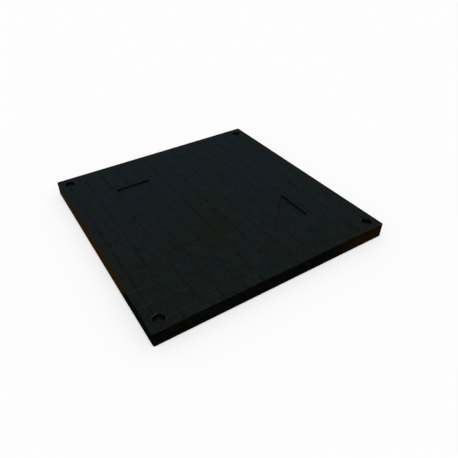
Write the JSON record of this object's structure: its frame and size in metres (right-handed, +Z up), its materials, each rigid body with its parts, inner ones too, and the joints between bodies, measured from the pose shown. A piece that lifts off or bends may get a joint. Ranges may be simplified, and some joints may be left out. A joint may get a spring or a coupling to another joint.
{
  "type": "drain chamber cover",
  "caption": "Square black plastic drain chamber cover with counterbored corner bolt holes, shallow triangular recesses and a ribbed underside.",
  "frame": {"origin": "middle of the underside, on the plane that the cover rests on", "axes": "+Z up through the plate to the top face; X and Y along the sides; one recess lies to -X +Y, the other to +X -Y"},
  "size_m": [0.45, 0.45, 0.027],
  "materials": {
    "black_plastic": "fine matt moulded grain, black"
  },
  "bodies": {
    "root": {"chamber_cover": "black_plastic"}
  },
  "joints": []
}
